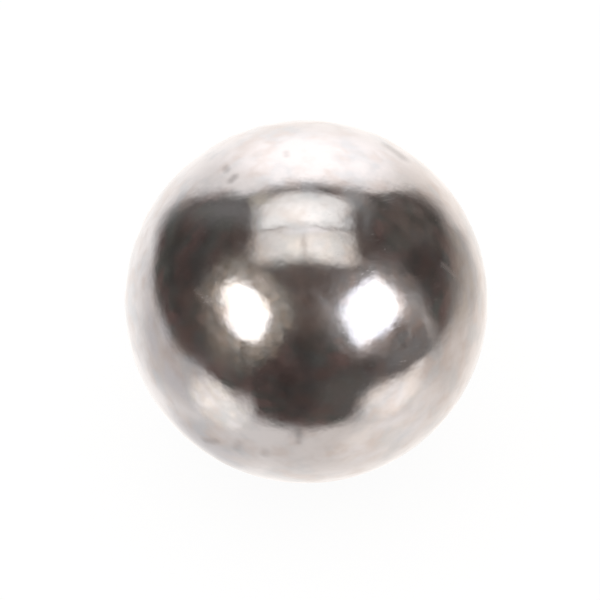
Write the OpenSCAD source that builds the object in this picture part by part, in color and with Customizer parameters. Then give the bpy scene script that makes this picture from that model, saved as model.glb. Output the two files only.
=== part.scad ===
// Loose steel ball: one solid sphere, ground and lapped all over.
// Millimetres, +Z up. The origin is the centre of the ball.

/* [Ball] */
// Diameter of the ball
ball_d = 8; // [1:0.5:50]

/* [Hidden] */
// Facets round the ball in a preview
$fn = 180;

// The whole part: a sphere with no flat, hole or seam, in bare polished steel
module ball() {
    color("silver")
        sphere(d = ball_d);
}

ball();
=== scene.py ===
"""Dresses a loose steel ball: its lapped surface with pits and scratches, its finish, camera and studio."""
import logging
import math
from dataclasses import dataclass, field
from enum import Enum
from random import Random
from typing import Any

import bpy
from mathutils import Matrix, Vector
from mathutils.kdtree import KDTree


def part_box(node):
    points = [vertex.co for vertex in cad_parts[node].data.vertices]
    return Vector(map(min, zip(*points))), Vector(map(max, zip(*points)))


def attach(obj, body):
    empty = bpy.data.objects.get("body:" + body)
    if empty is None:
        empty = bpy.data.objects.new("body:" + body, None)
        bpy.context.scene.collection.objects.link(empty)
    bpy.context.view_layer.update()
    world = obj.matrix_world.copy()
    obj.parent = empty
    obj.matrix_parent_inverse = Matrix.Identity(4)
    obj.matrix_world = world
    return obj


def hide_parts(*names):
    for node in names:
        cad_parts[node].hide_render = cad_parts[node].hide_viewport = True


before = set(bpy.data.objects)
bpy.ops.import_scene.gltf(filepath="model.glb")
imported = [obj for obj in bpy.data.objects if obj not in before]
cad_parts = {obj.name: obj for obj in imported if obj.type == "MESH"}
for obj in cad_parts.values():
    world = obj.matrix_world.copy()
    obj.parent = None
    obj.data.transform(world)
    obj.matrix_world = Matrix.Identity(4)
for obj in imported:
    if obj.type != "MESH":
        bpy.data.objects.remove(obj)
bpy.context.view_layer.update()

LOG = logging.getLogger("steel_ball")
MM = 0.001

# A point on the ball's face as the camera sees it: right and up from the middle, in ball radii
FacePoint = tuple[float, float]

# A point of a card's outline: a face point and, where it isn't the card's own, the softness of the edge
EdgePoint = tuple[float, float] | tuple[float, float, float]

# Where a range of values starts and where it ends
Span = tuple[float, float]

# Settings of a Map Range node that eases in and out, and of a Mix node that mixes colours
EASED = {"interpolation_type": "SMOOTHSTEP"}
COLOURS = {"data_type": "RGBA"}

# Sockets of that Mix node
MIX_A = 6
MIX_B = 7
MIX_RESULT = 2


def linear(hex_colour: str) -> tuple[float, float, float, float]:
    """Turns an sRGB hex colour into linear light.

    Args:
        hex_colour: a hash sign and six hex digits.

    Returns:
        Linear red, green and blue, with an alpha of 1.
    """
    shares = [int(hex_colour[start:start + 2], 16) / 255 for start in (1, 3, 5)]
    # The numbers are those of the sRGB standard
    red, green, blue = (s / 12.92 if s <= 0.04045 else ((s + 0.055) / 1.055) ** 2.4 for s in shares)
    return red, green, blue, 1.0


def per_metre(size_mm: float) -> float:
    """Gives the texture scale, in Object coordinates, at which a pattern repeats about every size_mm."""
    return 1.0 / (size_mm * MM)


def tree_of(points: list[Vector]) -> KDTree:
    """Sorts points into a tree, in which those near a place are found quickly.

    Args:
        points: the points.

    Returns:
        The tree, which gives back each point's number.
    """
    tree = KDTree(len(points))
    for number, point in enumerate(points):
        tree.insert(point, number)
    tree.balance()
    return tree


def add_node(
    tree: bpy.types.NodeTree,
    kind: str,
    settings: dict[str, Any] | None = None,
    inputs: dict[str | int, Any] | None = None,
) -> bpy.types.Node:
    """Adds a node to a tree, sets it up and links it.

    Args:
        tree: the node tree that takes the node.
        kind: the type of node, as bpy names it.
        settings: the node's own properties and their values.
        inputs: input sockets, by name or number, each with a value or with the output socket that feeds it.

    Returns:
        The new node.
    """
    node = tree.nodes.new(kind)
    for name, value in (settings or {}).items():
        setattr(node, name, value)
    for socket, value in (inputs or {}).items():
        if isinstance(value, bpy.types.NodeSocket):
            tree.links.new(value, node.inputs[socket])
        else:
            node.inputs[socket].default_value = value
    return node


def empty_material(name: str) -> bpy.types.Material:
    """Makes a node material with nothing in it.

    Args:
        name: the material's common name.

    Returns:
        The new material.
    """
    material = bpy.data.materials.new(name)
    material.use_nodes = True
    material.node_tree.nodes.clear()
    return material


@dataclass(frozen=True)
class LappedSteel:
    """High-carbon chrome steel, hardened, ground and lapped, with nothing plated or painted over it.

    Lapping gives a near mirror, grey with a little warmth, in which every reflection has a slightly soft,
    uneven edge. Handling leaves a thin patchy film, seen as clouds of duller metal, some warm and some
    cool, and use leaves hairline scuffs. Pits hold dark oxide. Smudges low on the ball are darkened towards
    that oxide colour, partly as dirt and partly as painted shade on the ball's lower rim.
    """

    name: str = "chrome steel, hardened and lapped"
    bare: str = "#CFC9C8"
    warm_film: str = "#C4BAB6"
    cool_film: str = "#C1BFC0"
    # Oxide in the pits; the smudges low on the ball are darkened towards it as well, partly as painted shade
    oxide: str = "#3B332E"
    bare_roughness: float = 0.10
    filmed_roughness: float = 0.18
    scuffed_roughness: float = 0.26
    hazed_roughness: float = 0.42
    # Clouds of the handling film are about a fifth of the ball across, and the patches in them 0.6 mm
    film_mm: float = 1.6
    patch_mm: float = 0.62
    # How many finer clouds break up the large ones, and how strongly
    film_detail: float = 4.0
    film_break_up: float = 0.6
    # Clouds and patches are added up: the sum at which the film starts, and at which it is full
    film_span: Span = (0.82, 1.22)
    # Where the patches' own tint turns from warm to cool
    cool_span: Span = (0.38, 0.62)
    # The lapped surface rises and falls by microns over a few tenths of a mm
    wave_mm: float = 0.42
    wave_depth_mm: float = 0.0055
    # Lapping marks are a few microns wide: drawn some ten times as coarse, so that a close view shows them
    lapping_width_mm: float = 0.035
    lapping_length_mm: float = 2.4
    lapping_depth_mm: float = 0.00012
    # Turns of the three lays of lapping marks, in degrees about X, Y and Z
    lays: tuple[tuple[float, float, float], ...] = ((10, 20, 35), (70, -15, 100), (-35, 65, 10))
    # Only the highest of the first lay's marks are scuffs: the height at which they start and are full
    scuff_span: Span = (0.64, 0.74)

    def make(self) -> bpy.types.Material:
        """Builds the material.

        Returns:
            The finished steel.
        """
        material = empty_material(self.name)
        tree = material.node_tree
        place = add_node(tree, "ShaderNodeTexCoord").outputs["Object"]
        lays = [self.lay(tree, place, turn) for turn in self.lays]
        # How dark each point is: oxide in pits, dirt in smudges, and painted shade where the smudges low on
        # the ball darken its lower rim
        stain_and_shade = add_node(tree, "ShaderNodeAttribute", {"attribute_name": "stain_and_shade"}).outputs["Fac"]
        haze = add_node(tree, "ShaderNodeAttribute", {"attribute_name": "haze"}).outputs["Fac"]
        filmed, cool = self.film(tree, place)
        film = add_node(tree, "ShaderNodeMix", COLOURS, {
            0: cool, MIX_A: linear(self.warm_film), MIX_B: linear(self.cool_film)})
        clean = add_node(tree, "ShaderNodeMix", COLOURS, {
            0: filmed, MIX_A: linear(self.bare), MIX_B: film.outputs[MIX_RESULT]})
        colour = add_node(tree, "ShaderNodeMix", COLOURS, {
            0: stain_and_shade, MIX_A: clean.outputs[MIX_RESULT], MIX_B: linear(self.oxide)})
        dull = add_node(tree, "ShaderNodeMapRange", inputs={
            "Value": filmed, "To Min": self.bare_roughness, "To Max": self.filmed_roughness})
        scuffed = add_node(tree, "ShaderNodeMapRange", EASED, {
            "Value": lays[0], "From Min": self.scuff_span[0], "From Max": self.scuff_span[1],
            "To Min": dull.outputs["Result"], "To Max": self.scuffed_roughness})
        marked = add_node(tree, "ShaderNodeMath", {"operation": "MAXIMUM"}, {0: stain_and_shade, 1: haze})
        roughness = add_node(tree, "ShaderNodeMapRange", inputs={
            "Value": marked.outputs[0], "To Min": scuffed.outputs["Result"], "To Max": self.hazed_roughness})
        shader = add_node(tree, "ShaderNodeBsdfPrincipled", inputs={
            "Base Color": colour.outputs[MIX_RESULT], "Metallic": 1.0,
            "Roughness": roughness.outputs["Result"], "Normal": self.relief(tree, place, lays)})
        add_node(tree, "ShaderNodeOutputMaterial", inputs={"Surface": shader.outputs["BSDF"]})
        return material

    def film(
        self, tree: bpy.types.NodeTree, place: bpy.types.NodeSocket,
    ) -> tuple[bpy.types.NodeSocket, bpy.types.NodeSocket]:
        """Draws the handling film.

        Args:
            tree: the steel's node tree.
            place: the Object coordinates.

        Returns:
            The outputs that hold how much film there is, and how cool it is.
        """
        clouds = add_node(tree, "ShaderNodeTexNoise", inputs={
            "Vector": place, "Scale": per_metre(self.film_mm),
            "Detail": self.film_detail, "Roughness": self.film_break_up})
        patches = add_node(tree, "ShaderNodeTexNoise", inputs={
            "Vector": place, "Scale": per_metre(self.patch_mm)})
        both = add_node(tree, "ShaderNodeMath", {"operation": "ADD"}, {
            0: clouds.outputs["Fac"], 1: patches.outputs["Fac"]})
        filmed = add_node(tree, "ShaderNodeMapRange", EASED, {
            "Value": both.outputs[0], "From Min": self.film_span[0], "From Max": self.film_span[1]})
        tints = add_node(tree, "ShaderNodeSeparateColor", inputs={"Color": patches.outputs["Color"]})
        cool = add_node(tree, "ShaderNodeMapRange", EASED, {
            "Value": tints.outputs["Green"], "From Min": self.cool_span[0], "From Max": self.cool_span[1]})
        return filmed.outputs["Result"], cool.outputs["Result"]

    def lay(
        self, tree: bpy.types.NodeTree, place: bpy.types.NodeSocket, turn: tuple[float, float, float],
    ) -> bpy.types.NodeSocket:
        """Draws one lay of long fine lapping marks.

        Args:
            tree: the steel's node tree.
            place: the Object coordinates.
            turn: how the lay is turned, in degrees about X, Y and Z.

        Returns:
            The output that holds the marks' height.
        """
        laid = add_node(tree, "ShaderNodeMapping", {"vector_type": "TEXTURE"}, {
            "Vector": place, "Rotation": [math.radians(angle) for angle in turn],
            "Scale": (self.lapping_length_mm * MM, self.lapping_width_mm * MM, self.lapping_width_mm * MM)})
        # The mapping has already brought the marks to their size
        marks = add_node(tree, "ShaderNodeTexNoise", inputs={"Vector": laid.outputs["Vector"], "Scale": 1.0})
        return marks.outputs["Fac"]

    def relief(
        self, tree: bpy.types.NodeTree, place: bpy.types.NodeSocket, lays: list[bpy.types.NodeSocket],
    ) -> bpy.types.NodeSocket:
        """Raises the surface's slow waves and the crossing lapping marks, as a very shallow bump.

        Args:
            tree: the steel's node tree.
            place: the Object coordinates.
            lays: the outputs that hold each lay's height.

        Returns:
            The output that holds the bumped normal.
        """
        waves = add_node(tree, "ShaderNodeTexNoise", inputs={
            "Vector": place, "Scale": per_metre(self.wave_mm)})
        waved = add_node(tree, "ShaderNodeBump", inputs={
            "Distance": self.wave_depth_mm * MM, "Height": waves.outputs["Fac"]})
        height = lays[0]
        for lay in lays[1:]:
            height = add_node(tree, "ShaderNodeMath", {"operation": "ADD"}, {0: height, 1: lay}).outputs[0]
        lapped = add_node(tree, "ShaderNodeBump", inputs={
            "Distance": self.lapping_depth_mm * MM, "Height": height, "Normal": waved.outputs["Normal"]})
        return lapped.outputs["Normal"]


@dataclass(frozen=True)
class PaleBoard:
    """Matt white laminate board, rolled smooth: a pale floor that takes a soft shadow and has no gloss."""

    name: str = "matt white laminate board"
    white: str = "#F4F4F4"
    # Share of the board's look, to the camera, that is plain white whatever falls on it, which makes the
    # shadow faint
    plain_share: float = 0.9
    plain_level: float = 1.03

    def make(self) -> bpy.types.Material:
        """Builds the material.

        Returns:
            The finished board.
        """
        material = empty_material(self.name)
        tree = material.node_tree
        lit = add_node(tree, "ShaderNodeBsdfDiffuse", inputs={"Color": linear(self.white)})
        plain = add_node(tree, "ShaderNodeEmission", inputs={"Strength": self.plain_level})
        path = add_node(tree, "ShaderNodeLightPath")
        share = add_node(tree, "ShaderNodeMath", {"operation": "MULTIPLY"}, {
            0: path.outputs["Is Camera Ray"], 1: self.plain_share})
        look = add_node(tree, "ShaderNodeMixShader", inputs={
            0: share.outputs[0], 1: lit.outputs["BSDF"], 2: plain.outputs["Emission"]})
        add_node(tree, "ShaderNodeOutputMaterial", inputs={"Surface": look.outputs[0]})
        return material


@dataclass(frozen=True)
class CardGlow:
    """The face of a studio card: matt cloth or board that gives off light and thins out at its edge.

    Attributes:
        colour: the card's colour.
        patch: the colour of the patches among the folds.
        middle: light level at the card's middle, where 1 is white.
        edge: light level at the card's edge.
        soft: width of the soft edge, half inside the outline and half outside, as a share of the way out.
        folds: how far the folds of the cloth vary the level.
        folds_mm: how far apart the folds are.
        folds_detail: how many finer folds lie on the large ones.
        folds_span: the pattern's values at the darkest and the lightest of the folds.
        patch_span: the pattern's values at which a patch starts and is full.
    """

    colour: str
    patch: str
    middle: float
    edge: float
    soft: float = 0.1
    folds: float = 0.0
    folds_mm: float = 90.0
    folds_detail: float = 3.0
    folds_span: Span = (0.3, 0.7)
    patch_span: Span = (0.4, 0.6)

    def make(self, name: str) -> bpy.types.Material:
        """Builds the material. The card's UV map runs from 0 at its middle to 1 at the end of its soft edge.

        The card's attribute "solid" says how far along that way the soft edge starts.

        Args:
            name: what the card is.

        Returns:
            The glowing card.
        """
        material = empty_material(name)
        tree = material.node_tree
        place = add_node(tree, "ShaderNodeTexCoord")
        across = add_node(tree, "ShaderNodeSeparateXYZ", inputs={"Vector": place.outputs["UV"]})
        outwards = across.outputs["X"]
        level = add_node(tree, "ShaderNodeMapRange", EASED, {
            "Value": outwards, "To Min": self.middle, "To Max": self.edge})
        folds = add_node(tree, "ShaderNodeTexNoise", inputs={
            "Vector": place.outputs["Object"],
            "Scale": per_metre(self.folds_mm), "Detail": self.folds_detail})
        shade = add_node(tree, "ShaderNodeMapRange", inputs={
            "Value": folds.outputs["Fac"], "From Min": self.folds_span[0], "From Max": self.folds_span[1],
            "To Min": 1.0 - self.folds, "To Max": 1.0 + self.folds})
        strength = add_node(tree, "ShaderNodeMath", {"operation": "MULTIPLY"}, {
            0: level.outputs["Result"], 1: shade.outputs["Result"]})
        tints = add_node(tree, "ShaderNodeSeparateColor", inputs={"Color": folds.outputs["Color"]})
        patchy = add_node(tree, "ShaderNodeMapRange", EASED, {
            "Value": tints.outputs["Green"], "From Min": self.patch_span[0], "From Max": self.patch_span[1]})
        tint = add_node(tree, "ShaderNodeMix", COLOURS, {
            0: patchy.outputs["Result"], MIX_A: linear(self.colour), MIX_B: linear(self.patch)})
        glow = add_node(tree, "ShaderNodeEmission", inputs={
            "Color": tint.outputs[MIX_RESULT], "Strength": strength.outputs[0]})
        clear = add_node(tree, "ShaderNodeBsdfTransparent")
        solid = add_node(tree, "ShaderNodeAttribute", {"attribute_name": "solid"}).outputs["Fac"]
        thinned = add_node(tree, "ShaderNodeMapRange", EASED, {
            "Value": outwards, "From Min": solid, "From Max": 1.0})
        look = add_node(tree, "ShaderNodeMixShader", inputs={
            0: thinned.outputs["Result"], 1: glow.outputs["Emission"], 2: clear.outputs["BSDF"]})
        add_node(tree, "ShaderNodeOutputMaterial", inputs={"Surface": look.outputs[0]})
        return material


@dataclass(frozen=True)
class Viewpoint:
    """Where the camera stands, and which way the ball's face points and mirrors as seen from there."""

    centre: Vector
    radius: float
    distance_mm: float = 300.0
    elevation_deg: float = 45.0
    # The picture is square; the ball's radius and its middle in it, right of and below the picture's own
    picture_px: float = 600.0
    ball_radius_px: float = 181.6
    ball_right_px: float = 6.2
    ball_down_px: float = 1.7
    sensor_mm: float = 36.0
    # The camera sees from this many times nearer than the ball to this many times further
    clip_ratio: float = 100.0

    @property
    def right(self) -> Vector:
        """The camera's right."""
        return Vector((1.0, 0.0, 0.0))

    @property
    def back(self) -> Vector:
        """From the ball to the camera."""
        tilt = math.radians(self.elevation_deg)
        return Vector((0.0, -math.cos(tilt), math.sin(tilt)))

    @property
    def up(self) -> Vector:
        """The camera's up."""
        return self.back.cross(self.right)

    def facing(self, point: FacePoint) -> Vector:
        """Gives the outward direction of the ball's surface at a point of its face.

        Args:
            point: the point on the ball's face.

        Returns:
            A unit direction from the ball's middle.
        """
        across, upward = point
        depth = math.sqrt(max(0.0, 1.0 - across * across - upward * upward))
        return self.right * across + self.up * upward + self.back * depth

    def mirrored(self, point: FacePoint) -> Vector:
        """Gives the direction that the ball mirrors to the camera at a point of its face.

        Args:
            point: the point on the ball's face.

        Returns:
            A unit direction from the ball to what is seen in it.
        """
        facing = self.facing(point)
        return facing * (2.0 * facing.dot(self.back)) - self.back

    def place_camera(self) -> bpy.types.Object:
        """Stands the camera so that the ball has its size and place in the picture.

        Returns:
            The camera.
        """
        distance = self.distance_mm * MM
        half_px = self.picture_px / 2
        # Tangent of the ball's half angle, and from it that of the picture's
        ball_half = self.radius / math.sqrt(distance ** 2 - self.radius ** 2)
        picture_half = ball_half * half_px / self.ball_radius_px
        per_px = picture_half * distance / half_px
        stand = self.centre + self.back * distance
        stand += self.up * (self.ball_down_px * per_px) - self.right * (self.ball_right_px * per_px)
        bpy.ops.object.camera_add(location=stand)
        camera = bpy.context.object
        camera.name = "camera"
        camera.rotation_euler = (-self.back).to_track_quat("-Z", "Y").to_euler()
        camera.data.sensor_width = self.sensor_mm
        camera.data.lens = self.sensor_mm / 2 / picture_half
        camera.data.clip_start = distance / self.clip_ratio
        camera.data.clip_end = distance * self.clip_ratio
        bpy.context.scene.camera = camera
        return camera


class MarkKind(Enum):
    """What a mark on the ball's surface is."""

    PIT = "pit"
    SCRATCH = "scratch"
    SMUDGE = "smudge"


@dataclass(frozen=True)
class Mark:
    """A pit, scratch or smudge on the ball, along a short straight line between two directions.

    Attributes:
        kind: what the mark is.
        start: direction from the ball's middle to one end.
        end: direction to the other end, the same as start for a round mark.
        width_mm: how wide the mark is.
        depth_mm: how deep it is pressed in.
        stain_and_shade: how dark it is, from 0 to 1: oxide in a pit, dirt in a smudge, and for the smudges
            low on the ball partly painted shade.
        haze: how dull it is, from 0 to 1.
    """

    kind: MarkKind
    start: Vector
    end: Vector
    width_mm: float
    depth_mm: float = 0.0
    stain_and_shade: float = 0.0
    haze: float = 0.0

    def strength(self, place: Vector, radius: float) -> float:
        """Says how strongly the mark acts at a place on the ball.

        Args:
            place: a place on the surface, from the ball's middle.
            radius: the ball's radius.

        Returns:
            1 on the mark's line, falling to 0 at its edge.
        """
        line = (self.end - self.start) * radius
        off = place - self.start * radius
        along = 0.0
        if line.length_squared > 0.0:
            along = min(1.0, max(0.0, off.dot(line) / line.length_squared))
        reach = (off - line * along).length / (self.width_mm * MM / 2)
        return max(0.0, 1.0 - reach * reach) ** 2


@dataclass(frozen=True)
class FarSideWear:
    """Marks of use on the side of the ball that the camera doesn't see, like those on the side it does."""

    # Starts the draw, so that each run gives the same marks
    seed: int = 8
    pits: int = 6
    scratches: int = 3
    smudges: int = 4
    # How wide each kind is
    pit_mm: Span = (0.22, 0.32)
    scratch_mm: float = 0.16
    smudge_mm: Span = (0.25, 0.4)
    # How many times as wide as deep a pit is, and how deep a scratch is
    pit_flatness: float = 55.0
    scratch_depth_mm: float = 0.0015
    # How dark or dull each kind is
    pit_stain: Span = (0.15, 0.4)
    scratch_haze: float = 0.3
    smudge_stain: float = 0.15
    # How far a mark's end lies from its start along each axis, at most, in ball radii
    drift: float = 0.06
    # How far behind the ball's middle a mark lies, at least, in ball radii
    past_rim: float = 0.05
    # Lengths that a drawn direction may have before it is made a unit
    length_span: Span = (0.2, 1.0)

    def direction(self, draw: Random, viewpoint: Viewpoint) -> Vector:
        """Draws a direction to the far side of the ball, with no part of it more likely than another.

        Args:
            draw: what the numbers are drawn from.
            viewpoint: where the ball is seen from.

        Returns:
            A unit direction from the ball's middle.
        """
        shortest, longest = self.length_span
        while True:
            drawn = Vector(draw.uniform(-1.0, 1.0) for _ in range(3))
            facing = drawn.normalized()
            if shortest < drawn.length < longest and facing.dot(viewpoint.back) <= -self.past_rim:
                return facing

    def scatter(self, viewpoint: Viewpoint) -> list[Mark]:
        """Scatters the marks.

        Args:
            viewpoint: where the ball is seen from.

        Returns:
            The pits, scratches and smudges.
        """
        draw = Random(self.seed)
        counts = {MarkKind.PIT: self.pits, MarkKind.SCRATCH: self.scratches, MarkKind.SMUDGE: self.smudges}
        marks = []
        for kind in [kind for kind, count in counts.items() for _ in range(count)]:
            start = self.direction(draw, viewpoint)
            drift = Vector(draw.uniform(-self.drift, self.drift) for _ in range(3))
            end = (start + drift).normalized()
            if kind is MarkKind.PIT:
                width = draw.uniform(*self.pit_mm)
                stain_and_shade = draw.uniform(*self.pit_stain)
                marks.append(Mark(kind, start, start, width, width / self.pit_flatness, stain_and_shade=stain_and_shade))
            elif kind is MarkKind.SCRATCH:
                marks.append(Mark(
                    kind, start, end, self.scratch_mm, self.scratch_depth_mm, haze=self.scratch_haze))
            else:
                width = draw.uniform(*self.smudge_mm)
                marks.append(Mark(kind, start, end, width, stain_and_shade=self.smudge_stain))
        return marks


@dataclass
class SteelBall:
    """The ball: a true sphere with the small pits, scratches and smudges of use on it; the smudges low on it
    are partly painted shade.
    """

    centre: Vector
    radius: float
    marks: list[Mark]
    finish: LappedSteel = field(default_factory=LappedSteel)
    # An icosphere of seven levels has edges of about 0.08 mm on an 8 mm ball
    levels: int = 7
    # Cuts in each edge under a mark, which brings the edges there to about 0.02 mm
    mark_cuts: int = 3
    # How far past a mark's ends the faces are cut, in half widths of the mark
    cut_reach: float = 1.6

    def build(self) -> bpy.types.Object:
        """Models the ball and dresses it.

        Returns:
            The finished ball.
        """
        bpy.ops.object.select_all(action="DESELECT")
        bpy.ops.mesh.primitive_ico_sphere_add(
            subdivisions=self.levels, radius=self.radius, location=self.centre)
        ball = bpy.context.object
        ball.name = "lapped_ball"
        ball.data.name = "lapped_ball"
        self.cut_under_marks(ball)
        self.true_up(ball)
        self.press_marks(ball)
        bpy.ops.object.shade_smooth()
        bpy.ops.object.transform_apply(location=True, rotation=True, scale=True)
        ball.data.materials.append(self.finish.make())
        return ball

    def touched(self, tree: KDTree, mark: Mark, spread: float = 1.0) -> list[int]:
        """Finds the points near a mark.

        Args:
            tree: places on the surface, from the ball's middle.
            mark: the mark.
            spread: how far past the mark's ends to look, in half widths of it.

        Returns:
            The numbers of the points in a ball round the mark that reaches that far.
        """
        half_length = (mark.end - mark.start).length * self.radius / 2
        middle = (mark.start + mark.end) * (self.radius / 2)
        reach = half_length + mark.width_mm * MM / 2 * spread
        return [number for _, number, _ in tree.find_range(middle, reach)]

    def cut_under_marks(self, ball: bpy.types.Object) -> None:
        """Cuts the faces under each pressed mark small enough to take its shape.

        Args:
            ball: the plain sphere.
        """
        centres = tree_of([face.center for face in ball.data.polygons])
        # The new sphere is selected all over, points and edges too, so that is undone before faces are picked
        bpy.ops.object.mode_set(mode="EDIT")
        bpy.ops.mesh.select_mode(type="FACE")
        bpy.ops.mesh.select_all(action="DESELECT")
        bpy.ops.object.mode_set(mode="OBJECT")
        for mark in self.marks:
            if mark.depth_mm > 0.0:
                for number in self.touched(centres, mark, self.cut_reach):
                    ball.data.polygons[number].select = True
        bpy.ops.object.mode_set(mode="EDIT")
        bpy.ops.mesh.subdivide(number_cuts=self.mark_cuts, ngon=False)
        bpy.ops.object.mode_set(mode="OBJECT")

    def true_up(self, ball: bpy.types.Object) -> None:
        """Brings every point of the mesh onto the true sphere.

        Args:
            ball: the sphere with its cut faces.
        """
        cast = ball.modifiers.new("true_up", "CAST")
        cast.cast_type = "SPHERE"
        cast.factor = 1.0
        cast.use_radius_as_size = False
        cast.size = self.radius
        bpy.ops.object.modifier_apply(modifier=cast.name)

    def press_marks(self, ball: bpy.types.Object) -> None:
        """Presses the pits and scratches in, and stores how dark and hazed each point is for the finish; the
        dark is partly painted shade at the smudges low on the ball.

        Args:
            ball: the true sphere.
        """
        points = [vertex.co.copy() for vertex in ball.data.vertices]
        tree = tree_of(points)
        depths = [0.0] * len(points)
        stains_and_shade = [0.0] * len(points)
        hazes = [0.0] * len(points)
        for mark in self.marks:
            for number in self.touched(tree, mark):
                strength = mark.strength(points[number], self.radius)
                depths[number] = max(depths[number], strength * mark.depth_mm)
                stains_and_shade[number] = max(stains_and_shade[number], strength * mark.stain_and_shade)
                hazes[number] = max(hazes[number], strength * mark.haze)
        # The dark stored here is oxide and dirt, and painted shade where the smudges low on the ball darken
        # its lower rim
        for name, values in (("stain_and_shade", stains_and_shade), ("haze", hazes)):
            attribute = ball.data.attributes.new(name, "FLOAT", "POINT")
            attribute.data.foreach_set("value", values)
        deepest = max(depths)
        group = ball.vertex_groups.new(name="pressed")
        for number, depth in enumerate(depths):
            if depth > 0.0:
                group.add([number], depth / deepest, "REPLACE")
        press = ball.modifiers.new("press", "DISPLACE")
        press.vertex_group = group.name
        press.mid_level = 0.0
        press.strength = -deepest * MM
        bpy.ops.object.modifier_apply(modifier=press.name)


class EdgeLine(Enum):
    """How a card's edge runs between its points."""

    STRAIGHT = "straight"
    CURVED = "curved"


@dataclass(frozen=True)
class Card:
    """A card of the studio, cut to the outline that it shows in the ball's face.

    Attributes:
        name: what the card is.
        distance_mm: how far the card hangs from the ball. A nearer card hides a further one.
        middle: the face point that the card's rays run out from.
        glow: what its face gives off.
        outline: points round its edge.
        line: how the edge runs between the points.
        rings: faces from the middle to the edge.
        steps: faces along the edge between two points.
        merge_mm: points of the mesh that are nearer than this are made one.
    """

    name: str
    distance_mm: float
    middle: FacePoint
    glow: CardGlow
    outline: tuple[EdgePoint, ...]
    line: EdgeLine = EdgeLine.STRAIGHT
    rings: int = 16
    steps: int = 6
    merge_mm: float = 0.01

    def edge(self, turn: float) -> Vector:
        """Finds a point on the card's edge.

        Args:
            turn: share of the way round, from 0 to 1.

        Returns:
            The face point there and how soft the edge is.
        """
        count = len(self.outline)
        place = turn * count
        index = int(place)
        share = place - index
        near = [self.outline[(index + step) % count] for step in (-1, 0, 1, 2)]
        before, here, after, beyond = (Vector((*point, self.glow.soft)[:3]) for point in near)
        if self.line is EdgeLine.STRAIGHT:
            return here.lerp(after, share)
        # A smooth curve through every point, which runs there along the line between the points on both sides
        slope_here = (after - before) / 2
        slope_after = (beyond - here) / 2
        rest = 1.0 - share
        return (here * (rest * rest * (1 + 2 * share)) + after * (share * share * (3 - 2 * share))
                + slope_here * (share * rest * rest) - slope_after * (share * share * rest))

    def build(self, viewpoint: Viewpoint) -> bpy.types.Object:
        """Models the card on a dome round the ball.

        Args:
            viewpoint: where the outline is seen from.

        Returns:
            The card, seen by the ball but not by the camera.
        """
        bpy.ops.object.select_all(action="DESELECT")
        bpy.ops.mesh.primitive_grid_add(
            x_subdivisions=self.rings, y_subdivisions=self.steps * len(self.outline), size=1.0)
        card = bpy.context.object
        card.name = self.name
        middle = Vector(self.middle)
        solid = card.data.attributes.new("solid", "FLOAT", "POINT")
        for vertex in card.data.vertices:
            # The grid reaches half a unit to each side: X becomes the way out, and Y the way round
            outwards = vertex.co.x + 0.5
            edge = self.edge(min(vertex.co.y + 0.5, 1.0) % 1.0)
            # The soft edge lies half inside the outline, which is at 1, and half outside
            start = 1.0 - edge.z / 2
            reach = 1.0 + edge.z / 2
            solid.data[vertex.index].value = start / reach
            point = middle.lerp(edge.xy, outwards * reach)
            vertex.co = viewpoint.centre + viewpoint.mirrored((point.x, point.y)) * (self.distance_mm * MM)
        bpy.ops.object.mode_set(mode="EDIT")
        bpy.ops.mesh.select_all(action="SELECT")
        bpy.ops.mesh.remove_doubles(threshold=self.merge_mm * MM)
        bpy.ops.object.mode_set(mode="OBJECT")
        card.data.materials.append(self.glow.make(self.name))
        card.visible_camera = False
        card.visible_diffuse = False
        card.visible_shadow = False
        return card


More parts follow.
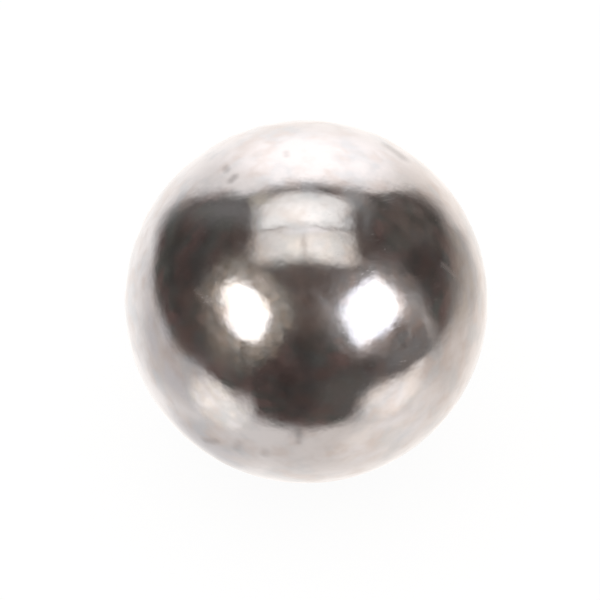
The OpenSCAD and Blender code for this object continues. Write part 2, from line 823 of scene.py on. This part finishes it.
@dataclass
class Studio:
    """The pale floor, the white surround and the cards that the ball mirrors."""

    viewpoint: Viewpoint
    cards: tuple[Card, ...]
    floor_finish: PaleBoard = field(default_factory=PaleBoard)
    floor_mm: float = 3000.0
    # What the camera sees of the surround is plain; what the ball mirrors is a little warmer on the right
    plain: str = "#FFFFFF"
    left: str = "#FFFFFF"
    right: str = "#FFF8F1"
    # Its level at the bottom and the top of the ball's face, and what that is multiplied by at the left,
    # at the right and far behind
    bottom_level: float = 0.95
    top_level: float = 1.07
    left_gain: float = 1.0
    right_gain: float = 0.905
    behind_gain: float = 1.28
    # How far round from the camera the brighter part behind the ball starts and is full
    behind_from_deg: float = 118.0
    behind_full_deg: float = 160.0

    def build_floor(self) -> bpy.types.Object:
        """Lays the floor under the ball, out of the ball's mirror, where the surround shows instead.

        Returns:
            The floor.
        """
        under = self.viewpoint.centre - Vector((0.0, 0.0, self.viewpoint.radius))
        bpy.ops.object.select_all(action="DESELECT")
        bpy.ops.mesh.primitive_plane_add(size=self.floor_mm * MM, location=under)
        floor = bpy.context.object
        floor.name = "floor"
        floor.data.materials.append(self.floor_finish.make())
        floor.visible_glossy = False
        return floor

    def build_surround(self) -> bpy.types.World:
        """Makes the white surround.

        Returns:
            The world.
        """
        world = bpy.data.worlds.new("white surround")
        world.use_nodes = True
        tree = world.node_tree
        tree.nodes.clear()
        towards = add_node(tree, "ShaderNodeTexCoord").outputs["Generated"]
        across = add_node(tree, "ShaderNodeSeparateXYZ", inputs={"Vector": towards}).outputs["X"]
        rightwards = add_node(tree, "ShaderNodeMapRange", EASED, {
            "Value": across, "From Min": -1.0, "From Max": 1.0}).outputs["Result"]
        tint = add_node(tree, "ShaderNodeMix", COLOURS, {
            0: rightwards, MIX_A: linear(self.left), MIX_B: linear(self.right)})
        mirrored = add_node(tree, "ShaderNodeBackground", inputs={
            "Color": tint.outputs[MIX_RESULT], "Strength": self.surround_level(tree, towards, rightwards)})
        plain = add_node(tree, "ShaderNodeBackground", inputs={"Color": linear(self.plain)})
        path = add_node(tree, "ShaderNodeLightPath")
        seen = add_node(tree, "ShaderNodeMixShader", inputs={
            0: path.outputs["Is Camera Ray"], 1: mirrored.outputs[0], 2: plain.outputs[0]})
        add_node(tree, "ShaderNodeOutputWorld", inputs={"Surface": seen.outputs[0]})
        bpy.context.scene.world = world
        return world

    def surround_level(
        self, tree: bpy.types.NodeTree, towards: bpy.types.NodeSocket, rightwards: bpy.types.NodeSocket,
    ) -> bpy.types.NodeSocket:
        """Works out how bright the surround is in each direction.

        Args:
            tree: the world's node tree.
            towards: the direction.
            rightwards: how far to the right it lies, from 0 to 1.

        Returns:
            The output that holds the light level.
        """
        upwards = add_node(tree, "ShaderNodeVectorMath", {"operation": "DOT_PRODUCT"}, {
            0: towards, 1: self.viewpoint.up})
        level = add_node(tree, "ShaderNodeMapRange", EASED, {
            "Value": upwards.outputs["Value"], "From Min": -1.0, "From Max": 1.0,
            "To Min": self.bottom_level, "To Max": self.top_level}).outputs["Result"]
        side = add_node(tree, "ShaderNodeMapRange", inputs={
            "Value": rightwards, "To Min": self.left_gain, "To Max": self.right_gain})
        away = add_node(tree, "ShaderNodeVectorMath", {"operation": "DOT_PRODUCT"}, {
            0: towards, 1: self.viewpoint.back})
        behind = add_node(tree, "ShaderNodeMapRange", EASED, {
            "Value": away.outputs["Value"],
            "From Min": math.cos(math.radians(self.behind_full_deg)),
            "From Max": math.cos(math.radians(self.behind_from_deg)),
            "To Min": self.behind_gain, "To Max": 1.0})
        for gain in (side, behind):
            level = add_node(tree, "ShaderNodeMath", {"operation": "MULTIPLY"}, {
                0: level, 1: gain.outputs["Result"]}).outputs[0]
        return level

    def build(self) -> None:
        """Builds the floor, the surround and every card."""
        self.build_floor()
        LOG.info("floor laid, %.0f mm wide", self.floor_mm)
        world = self.build_surround()
        LOG.info("%s made", world.name)
        for card in self.cards:
            card.build(self.viewpoint)
            LOG.info("card %s hung at %.0f mm", card.name, card.distance_mm)


def seen_marks(viewpoint: Viewpoint) -> list[Mark]:
    """Lists the marks on the side of the ball that the camera sees.

    Args:
        viewpoint: where the marks are seen from.

    Returns:
        Pits and a scratch high on the ball, dark smudges low on it that are partly dirt and partly painted
        shade on its lower rim, and dull rubbed lines between.
    """
    at = viewpoint.facing
    return [
        # Pits at the upper left and near the top, and a scratch at the upper right
        Mark(MarkKind.PIT, at((-0.438, 0.714)), at((-0.446, 0.730)), 0.30, 0.005, stain_and_shade=0.25),
        Mark(MarkKind.PIT, at((-0.413, 0.661)), at((-0.398, 0.677)), 0.34, 0.006, stain_and_shade=0.36),
        Mark(MarkKind.PIT, at((-0.107, 0.797)), at((-0.111, 0.817)), 0.24, 0.002, stain_and_shade=0.16),
        Mark(MarkKind.SCRATCH, at((0.455, 0.848)), at((0.525, 0.797)), 0.62, 0.003, stain_and_shade=0.34),
        # A rubbed hairline at the right
        Mark(MarkKind.SMUDGE, at((0.742, 0.205)), at((0.815, 0.140)), 0.20, haze=0.70),
        # Dark smudges low on the ball: partly dirt, partly painted shade that darkens its lower rim
        Mark(MarkKind.SMUDGE, at((-0.040, -0.700)), at((-0.042, -0.768)), 0.26, stain_and_shade=0.24),
        Mark(MarkKind.SMUDGE, at((-0.555, -0.764)), at((-0.490, -0.764)), 0.32, stain_and_shade=0.24),
        Mark(MarkKind.SMUDGE, at((-0.380, -0.805)), at((-0.368, -0.770)), 0.36, stain_and_shade=0.15),
        Mark(MarkKind.SMUDGE, at((-0.226, -0.840)), at((-0.220, -0.815)), 0.32, stain_and_shade=0.15),
        # Dull rubbed lines round the middle
        Mark(MarkKind.SMUDGE, at((0.430, 0.290)), at((0.490, 0.230)), 0.60, haze=0.18),
        Mark(MarkKind.SMUDGE, at((-0.595, 0.055)), at((-0.530, 0.000)), 0.30, haze=0.40),
        Mark(MarkKind.SMUDGE, at((-0.540, -0.110)), at((-0.470, -0.210)), 0.28, haze=0.25),
        Mark(MarkKind.SMUDGE, at((0.045, 0.055)), at((0.115, -0.035)), 0.32, haze=0.30),
        Mark(MarkKind.SMUDGE, at((-0.260, 0.130)), at((-0.170, 0.080)), 0.34, haze=0.30),
    ]


def lamp_cards() -> tuple[Card, ...]:
    """Lists the two softboxes beside the camera, and what their light spills on round them.

    Returns:
        The cards.
    """
    return (
        Card(
            "left_softbox", 300.0, (-0.33, -0.05), CardGlow("#FFFAF2", "#FFFFFF", 4.5, 1.8, soft=0.16), (
                (-0.415, 0.12), (-0.375, 0.12, 0.24), (-0.305, 0.088, 0.34), (-0.23, 0.018, 0.34),
                (-0.188, -0.07, 0.24), (-0.22, -0.16, 0.24), (-0.25, -0.215), (-0.285, -0.23),
                (-0.372, -0.197), (-0.445, -0.105), (-0.436, -0.05, 0.3), (-0.472, 0.01), (-0.465, 0.08))),
        Card(
            "right_softbox", 300.0, (0.36, -0.05), CardGlow("#F0F5FF", "#FFFFFF", 4.5, 1.6, soft=0.24), (
                (0.38, 0.155), (0.447, 0.092), (0.547, -0.022), (0.466, -0.145), (0.37, -0.205),
                (0.30, -0.265), (0.25, -0.22), (0.173, -0.06), (0.206, 0.02), (0.275, 0.088))),
        Card(
            "left_spill", 340.0, (-0.24, -0.02),
            CardGlow("#FFEDD8", "#F4F1E8", 0.57, 0.27, soft=0.45, folds=0.72, folds_mm=28.0), (
                (-0.36, 0.245), (-0.19, 0.14), (-0.06, -0.03), (-0.15, -0.255), (-0.34, -0.355),
                (-0.49, -0.28), (-0.555, -0.03), (-0.525, 0.15)), EdgeLine.CURVED),
        Card(
            "right_streak", 338.0, (0.61, -0.03), CardGlow("#FFF4EC", "#F4F1EE", 0.60, 0.35, soft=0.9), (
                (0.535, 0.075), (0.595, 0.04), (0.65, -0.03), (0.695, -0.11), (0.715, -0.20), (0.70, -0.28),
                (0.685, -0.20), (0.665, -0.14), (0.62, -0.075), (0.57, -0.02), (0.545, 0.02)),
            EdgeLine.CURVED),
        Card(
            "right_spill", 340.0, (0.42, -0.04),
            CardGlow("#FFEBE0", "#F2F1EF", 0.44, 0.31, soft=0.40, folds=0.50, folds_mm=40.0), (
                (0.34, 0.225), (0.53, 0.165), (0.65, -0.02), (0.615, -0.185), (0.43, -0.295), (0.20, -0.26),
                (0.06, -0.06), (0.16, 0.11)), EdgeLine.CURVED),
        Card(
            "middle_spill", 342.0, (0.0, 0.0),
            CardGlow("#FFDFD0", "#FFECE4", 0.155, 0.135, soft=1.3, folds=0.5, folds_mm=36.0), (
                (-0.12, 0.12), (0.0, 0.15), (0.14, 0.14), (0.10, -0.06), (0.02, -0.14), (-0.09, -0.12)),
            EdgeLine.CURVED),
        Card(
            "right_lower_spill", 345.0, (0.59, -0.25), CardGlow("#FFF3EA", "#F4F4F4", 0.26, 0.24, soft=1.2), (
                (0.66, -0.12), (0.72, -0.16), (0.66, -0.28), (0.54, -0.37), (0.42, -0.38), (0.44, -0.29),
                (0.56, -0.24))),
    )


def ceiling_cards() -> tuple[Card, ...]:
    """Lists the ceiling light with the battens between its panes, and the pale walls at its ends.

    Returns:
        The cards.
    """
    shade = CardGlow("#5A4F4B", "#5A4F4B", 1.0, 1.0, soft=1.2)
    return (
        Card(
            "ceiling_batten_left", 350.0, (-0.15, 0.4005), shade, (
                (-0.30, 0.382), (-0.22, 0.397), (-0.15, 0.403), (-0.03, 0.412), (-0.15, 0.398),
                (-0.22, 0.388))),
        Card(
            "ceiling_batten_right", 350.0, (0.14, 0.402), shade, (
                (0.03, 0.4135), (0.14, 0.408), (0.21, 0.400), (0.27, 0.390), (0.27, 0.370), (0.21, 0.384),
                (0.14, 0.396))),
        Card(
            "ceiling_batten_upright", 350.0, (-0.008, 0.285), shade, (
                (-0.013, 0.36), (-0.003, 0.36), (-0.001, 0.212), (-0.015, 0.212))),
        Card(
            "ceiling_corner_left", 351.0, (-0.25, 0.555),
            CardGlow("#FAF5EA", "#F6F2E4", 0.68, 0.58, soft=0.8), (
                (-0.19, 0.578), (-0.22, 0.592), (-0.28, 0.582), (-0.31, 0.555), (-0.295, 0.52),
                (-0.24, 0.518), (-0.195, 0.545))),
        Card(
            "ceiling_corner_right", 351.0, (0.25, 0.57),
            CardGlow("#F8F8F8", "#FFFAF6", 0.45, 0.36, soft=0.7), (
                (0.18, 0.60), (0.24, 0.605), (0.31, 0.59), (0.33, 0.56), (0.31, 0.53), (0.25, 0.545),
                (0.20, 0.57))),
        Card(
            "upper_left_wall", 352.0, (-0.40, 0.51), CardGlow("#F2F4EE", "#F2F2F2", 0.235, 0.18, soft=1.6), (
                (-0.66, 0.49), (-0.58, 0.535), (-0.48, 0.555), (-0.38, 0.555), (-0.305, 0.545),
                (-0.285, 0.49), (-0.33, 0.42), (-0.44, 0.43), (-0.57, 0.44)), EdgeLine.CURVED),
        Card(
            "upper_right_wall", 352.0, (0.32, 0.50), CardGlow("#F2F4F2", "#F2F2F2", 0.26, 0.19, soft=1.2), (
                (0.285, 0.55), (0.32, 0.57), (0.36, 0.555), (0.375, 0.51), (0.36, 0.44), (0.34, 0.37),
                (0.315, 0.37), (0.305, 0.44), (0.295, 0.50)), EdgeLine.CURVED),
        Card(
            "ceiling_lip", 353.0, (0.0, 0.385), CardGlow("#FDFDFF", "#FFFFFF", 1.40, 1.25, soft=0.8), (
                (-0.12, 0.385), (-0.05, 0.404), (0.04, 0.408), (0.11, 0.395), (0.13, 0.380), (0.05, 0.370),
                (-0.05, 0.368)), EdgeLine.CURVED),
        Card(
            "ceiling_end_left", 355.0, (-0.37, 0.36), shade, (
                (-0.307, 0.24), (-0.293, 0.36), (-0.292, 0.48), (-0.38, 0.50), (-0.40, 0.36), (-0.39, 0.24)),
            EdgeLine.CURVED),
        Card(
            "ceiling_end_right", 355.0, (0.345, 0.37), shade, (
                (0.28, 0.24), (0.258, 0.36), (0.235, 0.48), (0.36, 0.50), (0.38, 0.36), (0.37, 0.24)),
            EdgeLine.CURVED),
        Card(
            "ceiling_light_upper", 360.0, (0.0, 0.47),
            CardGlow("#FAFDFC", "#FCFDFB", 1.80, 1.08, soft=0.12), (
                (-0.31, 0.395), (-0.33, 0.49), (-0.295, 0.535), (-0.18, 0.581), (-0.07, 0.600),
                (0.05, 0.601), (0.13, 0.584), (0.21, 0.555), (0.27, 0.53), (0.26, 0.395), (0.15, 0.40),
                (0.0, 0.413), (-0.15, 0.405))),
        Card(
            "ceiling_light_lower", 362.0, (0.05, 0.285),
            CardGlow("#FEFAF2", "#FCFAF6", 1.62, 0.86, soft=0.12), (
                (-0.29, 0.395), (-0.15, 0.405), (0.0, 0.44), (0.15, 0.40), (0.27, 0.390), (0.295, 0.30),
                (0.32, 0.187), (0.16, 0.198), (0.0, 0.218), (-0.15, 0.215), (-0.32, 0.21), (-0.31, 0.30))),
    )


def dark_cards() -> tuple[Card, ...]:
    """Lists the dark flag behind the camera, and the paler and darker patches in front of it.

    Returns:
        The cards.
    """
    return (
        Card(
            "lower_wall", 440.0, (0.19, -0.51), CardGlow("#F4F6F0", "#FFF2EC", 0.15, 0.14, soft=1.0), (
                (0.07, -0.46), (0.08, -0.58), (0.20, -0.62), (0.29, -0.55), (0.36, -0.43), (0.24, -0.375))),
        Card(
            "lower_shade", 442.0, (-0.11, -0.45),
            CardGlow("#5A4D4A", "#4D4A48", 0.84, 0.90, soft=1.2, folds=0.35, folds_mm=60.0), (
                (-0.28, -0.40), (-0.16, -0.35), (0.0, -0.36), (0.09, -0.44), (0.04, -0.54), (-0.10, -0.56),
                (-0.23, -0.51)), EdgeLine.CURVED),
        Card(
            "right_wall", 445.0, (0.58, 0.41),
            CardGlow("#F2F0E6", "#FFECE2", 0.140, 0.13, soft=1.3, folds=0.45, folds_mm=50.0), (
                (0.47, 0.50), (0.55, 0.56), (0.66, 0.54), (0.71, 0.44), (0.71, 0.30), (0.62, 0.23),
                (0.53, 0.27), (0.47, 0.37)), EdgeLine.CURVED),
        Card(
            "left_shade", 446.0, (-0.62, 0.16), CardGlow("#5A4D4A", "#4D4A48", 0.76, 0.86, soft=1.2), (
                (-0.72, 0.20), (-0.66, 0.28), (-0.56, 0.25), (-0.52, 0.18), (-0.56, 0.09), (-0.66, 0.04),
                (-0.72, 0.11)), EdgeLine.CURVED),
        Card(
            "right_shade", 443.0, (0.63, 0.21), CardGlow("#5A4D4A", "#4D4A48", 0.78, 0.88, soft=1.2), (
                (0.54, 0.22), (0.59, 0.30), (0.67, 0.30), (0.71, 0.21), (0.68, 0.12), (0.59, 0.12)),
            EdgeLine.CURVED),
        Card(
            "dark_flag", 450.0, (0.0, -0.02),
            CardGlow("#5B4C49", "#494B48", 0.96, 1.21, soft=0.07, folds=0.50, folds_mm=80.0), (
                (0.815, 0.0, 0.20), (0.828, 0.14, 0.21), (0.81, 0.32, 0.20), (0.745, 0.488, 0.15),
                (0.60, 0.591, 0.12), (0.51, 0.607, 0.12), (0.42, 0.597, 0.10), (0.36, 0.595), (0.29, 0.61),
                (0.20, 0.634, 0.12), (0.04, 0.649, 0.11), (-0.11, 0.639, 0.11), (-0.20, 0.617),
                (-0.32, 0.578, 0.12), (-0.42, 0.588, 0.19), (-0.53, 0.590, 0.18), (-0.69, 0.545, 0.15),
                (-0.795, 0.425, 0.12), (-0.829, 0.26), (-0.833, 0.08), (-0.79, -0.08, 0.10),
                (-0.705, -0.25, 0.09), (-0.56, -0.37), (-0.425, -0.487, 0.12), (-0.35, -0.53, 0.26),
                (-0.295, -0.575, 0.26), (-0.257, -0.64, 0.14), (-0.12, -0.683, 0.13), (0.03, -0.695, 0.11),
                (0.18, -0.67, 0.09), (0.267, -0.627, 0.13), (0.289, -0.566, 0.15), (0.31, -0.51, 0.20),
                (0.402, -0.449, 0.15), (0.53, -0.385, 0.10), (0.64, -0.30), (0.76, -0.16, 0.10)),
            EdgeLine.CURVED, rings=40),
    )


def pale_cards() -> tuple[Card, ...]:
    """Lists the white boards and scrims round the dark flag, and the softbox overhead.

    Returns:
        The cards.
    """
    return (
        Card(
            "left_board", 500.0, (-0.47, -0.59),
            CardGlow("#FFFCF4", "#FFFFFF", 1.46, 1.08, soft=0.4, folds=0.22, folds_mm=40.0), (
                (-0.605, -0.42), (-0.49, -0.40), (-0.34, -0.49), (-0.30, -0.61), (-0.33, -0.70),
                (-0.45, -0.695), (-0.58, -0.61), (-0.65, -0.50))),
        Card(
            "right_board", 500.0, (0.505, -0.565), CardGlow("#FFF8F0", "#FFFDFB", 1.55, 1.00, soft=0.3), (
                (0.65, -0.30), (0.65, -0.46), (0.57, -0.55), (0.50, -0.63), (0.33, -0.665), (0.28, -0.588),
                (0.30, -0.50), (0.50, -0.38))),
        Card(
            "lower_right_board", 510.0, (0.44, -0.72), CardGlow("#FFFAF4", "#FFFDFB", 1.18, 1.10, soft=0.7), (
                (0.20, -0.76), (0.36, -0.64), (0.62, -0.46), (0.72, -0.48), (0.66, -0.66), (0.45, -0.83),
                (0.24, -0.88), (0.14, -0.84)), EdgeLine.CURVED),
        Card(
            "left_scrim", 520.0, (-0.55, -0.22), CardGlow("#FFFAF6", "#FBFAFC", 0.69, 0.77, soft=0.35), (
                (-0.83, 0.22), (-0.87, 0.05), (-0.88, -0.12), (-0.865, -0.30), (-0.785, -0.46),
                (-0.635, -0.565), (-0.45, -0.58), (-0.35, -0.45), (-0.40, -0.10), (-0.55, 0.15)),
            EdgeLine.CURVED),
        Card(
            "lower_left_scrim", 515.0, (-0.56, -0.75), CardGlow("#FBFAFB", "#FFFAF6", 0.84, 0.92, soft=0.8), (
                (-0.69, -0.60), (-0.58, -0.66), (-0.44, -0.74), (-0.30, -0.86), (-0.40, -0.91),
                (-0.62, -0.77), (-0.73, -0.64)), EdgeLine.CURVED),
        Card(
            "right_scrim", 520.0, (0.60, 0.08), CardGlow("#FFF6EA", "#FFFAF6", 0.58, 0.68, soft=0.2), (
                (0.83, 0.40), (0.913, 0.24), (0.935, 0.06), (0.90, -0.055), (0.835, -0.15), (0.745, -0.225),
                (0.50, -0.20), (0.40, 0.05), (0.60, 0.35)), EdgeLine.CURVED),
        Card(
            "overhead_softbox", 560.0, (0.02, 0.80), CardGlow("#FFFEFE", "#FFFEFE", 1.74, 1.53, soft=0.8), (
                (-0.31, 0.68), (-0.41, 0.79), (-0.29, 0.895), (0.03, 0.94), (0.34, 0.888), (0.48, 0.78),
                (0.44, 0.67), (0.25, 0.60), (0.0, 0.60), (-0.18, 0.62)), EdgeLine.CURVED),
    )


def main() -> None:
    """Builds the camera, the ball and the studio."""
    logging.basicConfig(level=logging.INFO, format="%(name)s: %(message)s")
    bpy.context.scene.view_settings.view_transform = "Standard"
    low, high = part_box("ball")
    viewpoint = Viewpoint(centre=(low + high) / 2, radius=(high.z - low.z) / 2)
    camera = viewpoint.place_camera()
    LOG.info("%s placed %.0f mm from the ball", camera.name, viewpoint.distance_mm)

    marks = seen_marks(viewpoint) + FarSideWear().scatter(viewpoint)
    ball = SteelBall(viewpoint.centre, viewpoint.radius, marks).build()
    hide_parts("ball")
    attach(ball, "root")
    LOG.info("%s built with %d faces", ball.name, len(ball.data.polygons))
    for kind in MarkKind:
        LOG.info("%s: %d of kind %s", ball.name, sum(mark.kind is kind for mark in marks), kind.value)

    Studio(viewpoint, lamp_cards() + ceiling_cards() + dark_cards() + pale_cards()).build()


if __name__ == "__main__":
    main()
